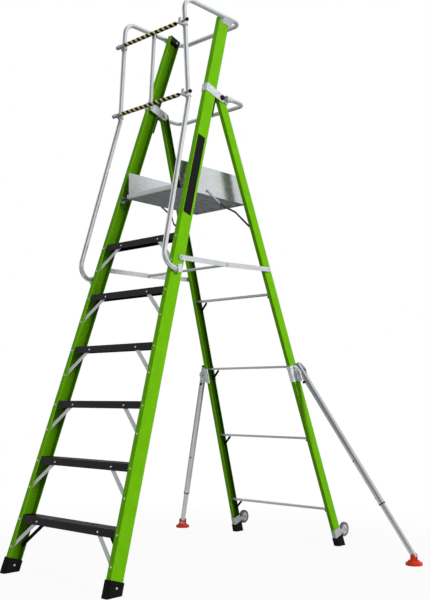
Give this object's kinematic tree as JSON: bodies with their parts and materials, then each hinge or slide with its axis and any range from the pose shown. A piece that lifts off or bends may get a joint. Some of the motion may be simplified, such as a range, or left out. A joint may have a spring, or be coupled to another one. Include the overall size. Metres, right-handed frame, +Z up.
{
  "type": "platform stepladder",
  "caption": "Folding platform stepladder with fibreglass rails, guard rails, lift-up gate, toe boards, swing-out telescopic outriggers and transport wheels.",
  "frame": {"origin": "middle of the footprint's bounding box, on the ground", "axes": "+X to the climber's right, +Y from the steps towards the rear frame, +Z up"},
  "size_m": [1.9918, 2.009, 3.2306],
  "materials": {
    "green_fibreglass": "pultruded, satin gloss",
    "black_step": "black anodised, grooved",
    "aluminium": "mill finish",
    "cast_aluminium": "cast or pressed, dull",
    "black_plastic": "moulded",
    "rubber": "moulded",
    "red_plastic": "moulded",
    "steel": "zinc plated",
    "hazard_bar": "sleeved, black and yellow stripes"
  },
  "bodies": {
    "front_frame": {"front_rail_left": "green_fibreglass", "front_rail_right": "green_fibreglass", "step_1": "black_step", "step_2": "black_step", "step_3": "black_step", "step_4": "black_step", "step_5": "black_step", "step_6": "black_step", "step_knee_straps": "aluminium", "step_rear_straps": "black_step", "step_rivets": "steel", "front_feet": "rubber", "rail_top_caps": "black_plastic", "handrail_left": "aluminium", "handrail_right": "aluminium", "top_guard_rail": "aluminium", "mid_guard_rail": "aluminium", "top_rail_saddles": "cast_aluminium", "handrail_clamps": "cast_aluminium", "hinge_brackets": "cast_aluminium", "hinge_bolts": "black_plastic", "gate_pivot_brackets": "cast_aluminium", "gate_cradles": "cast_aluminium", "platform_pivots": "steel", "spreader_pivots": "steel"},
    "rear_frame": {"rear_rail_left": "green_fibreglass", "rear_rail_right": "green_fibreglass", "rear_rungs": "aluminium", "rung_braces": "black_step", "rear_feet": "rubber", "rear_pivot_bosses": "steel", "wheel_brackets": "cast_aluminium", "outrigger_brackets": "cast_aluminium", "outrigger_pivot_bolts": "steel"},
    "spreader_front": {"spreader_front_links": "aluminium", "spreader_cross_bar": "aluminium"},
    "spreader_rear": {"spreader_rear_links": "aluminium"},
    "platform": {"platform_deck": "cast_aluminium", "platform_nosing": "aluminium", "nosing_end_caps": "black_plastic", "toe_board_left": "aluminium", "toe_board_right": "aluminium", "toe_board_rear": "aluminium", "platform_pivot_plates": "steel"},
    "platform_strap": {"platform_straps": "aluminium"},
    "gate_upper": {"gate_bar_upper": "hazard_bar", "gate_knob_upper": "black_plastic"},
    "gate_lower": {"gate_bar_lower": "hazard_bar", "gate_knob_lower": "black_plastic"},
    "gate_tie": {"gate_tie_bar": "aluminium"},
    "wheel_left": {"wheel_left": "rubber"},
    "wheel_right": {"wheel_right": "rubber"},
    "outrigger_left": {"outrigger_tube_left": "aluminium"},
    "outrigger_leg_left": {"outrigger_leg_left": "aluminium"},
    "outrigger_foot_left": {"outrigger_foot_left": "red_plastic"},
    "outrigger_button_left": {"outrigger_button_left": "black_plastic"},
    "outrigger_right": {"outrigger_tube_right": "aluminium"},
    "outrigger_leg_right": {"outrigger_leg_right": "aluminium"},
    "outrigger_foot_right": {"outrigger_foot_right": "red_plastic"},
    "outrigger_button_right": {"outrigger_button_right": "black_plastic"}
  },
  "joints": [
    {"name": "rear_fold", "type": "hinge", "parent": "front_frame", "child": "rear_frame", "pos_m": [-0.12604, -0.01914, 2.692], "axis": [-1, 0, 0], "range_deg": [0, 28]},
    {"name": "spreader_front_fold", "type": "hinge", "parent": "front_frame", "child": "spreader_front", "pos_m": [-0.12604, -0.42612, 1.675], "axis": [1, 0, 0], "range_deg": [0, 61.59]},
    {"name": "spreader_rear_fold", "type": "hinge", "parent": "spreader_front", "child": "spreader_rear", "pos_m": [-0.12604, -0.04412, 1.6775], "axis": [1, 0, 0], "range_deg": [-143.83, 0]},
    {"name": "platform_fold", "type": "hinge", "parent": "front_frame", "child": "platform", "pos_m": [-0.12604, -0.30412, 2.11], "axis": [1, 0, 0], "range_deg": [0, 50.2]},
    {"name": "platform_strap_fold", "type": "hinge", "parent": "platform", "child": "platform_strap", "pos_m": [-0.12604, -0.08912, 2.122], "axis": [1, 0, 0], "range_deg": [-107.56, 0]},
    {"name": "gate_lift", "type": "hinge", "parent": "front_frame", "child": "gate_upper", "pos_m": [-0.38789, -0.36312, 3.05], "axis": [0, -1, 0], "range_deg": [0, 75]},
    {"name": "gate_lower_lift", "type": "hinge", "parent": "front_frame", "child": "gate_lower", "pos_m": [-0.41486, -0.36312, 2.622], "axis": [0, -1, 0], "range_deg": [0, 75]},
    {"name": "gate_tie_swing", "type": "hinge", "parent": "gate_upper", "child": "gate_tie", "pos_m": [-0.11256, -0.33862, 3.05], "axis": [0, -1, 0], "range_deg": [-75, 0]},
    {"name": "outrigger_swing_right", "type": "hinge", "parent": "rear_frame", "child": "outrigger_right", "pos_m": [0.28755, 0.54393, 1.07593], "axis": [-0.3359, -0.8847, -0.3232], "range_deg": [-29.5, 0]},
    {"name": "outrigger_extend_right", "type": "slide", "parent": "outrigger_right", "child": "outrigger_leg_right", "axis": [0.5383, 0.1013, -0.8367], "range_m": [-0.26, 0.16]},
    {"name": "outrigger_foot_tilt_right", "type": "hinge", "parent": "outrigger_leg_right", "child": "outrigger_foot_right", "pos_m": [0.9489, 0.66834, 0.048], "axis": [-0.1849, 0.9828, 0], "range_deg": [-15, 15]},
    {"name": "outrigger_button_press_right", "type": "slide", "parent": "outrigger_right", "child": "outrigger_button_right", "axis": [0.3359, 0.8847, 0.3232], "range_m": [0, 0.005], "stiffness_N_per_m": 400, "springref_m": -0.004},
    {"name": "wheel_spin_right", "type": "hinge", "parent": "rear_frame", "child": "wheel_right", "pos_m": [0.29109, 0.96045, 0.09326], "axis": [1, 0, 0], "continuous": true},
    {"name": "outrigger_swing_left", "type": "hinge", "parent": "rear_frame", "child": "outrigger_left", "pos_m": [-0.53964, 0.54393, 1.07593], "axis": [-0.3359, 0.8847, 0.3232], "range_deg": [-17.3, 12.2]},
    {"name": "outrigger_extend_left", "type": "slide", "parent": "outrigger_left", "child": "outrigger_leg_left", "axis": [-0.3628, 0.1951, -0.9112], "range_m": [-0.14, 0.28]},
    {"name": "outrigger_foot_tilt_left", "type": "hinge", "parent": "outrigger_leg_left", "child": "outrigger_foot_left", "pos_m": [-0.9489, 0.76404, 0.048], "axis": [0.4737, 0.8807, 0], "range_deg": [-15, 15]},
    {"name": "outrigger_button_press_left", "type": "slide", "parent": "outrigger_left", "child": "outrigger_button_left", "axis": [-0.3359, 0.8847, 0.3232], "range_m": [0, 0.005], "stiffness_N_per_m": 400, "springref_m": -0.004},
    {"name": "wheel_spin_left", "type": "hinge", "parent": "rear_frame", "child": "wheel_left", "pos_m": [-0.54319, 0.96045, 0.09326], "axis": [1, 0, 0], "continuous": true}
  ],
  "couplings": [
    {"joint": "spreader_front_fold", "follows": "rear_fold", "ratio": 2.1978},
    {"joint": "spreader_rear_fold", "follows": "rear_fold", "ratio": -5.135},
    {"joint": "platform_fold", "follows": "rear_fold", "ratio": 1.7909},
    {"joint": "platform_strap_fold", "follows": "rear_fold", "ratio": -3.8398},
    {"joint": "gate_lower_lift", "follows": "gate_lift", "ratio": 1},
    {"joint": "gate_tie_swing", "follows": "gate_lift", "ratio": -1}
  ]
}
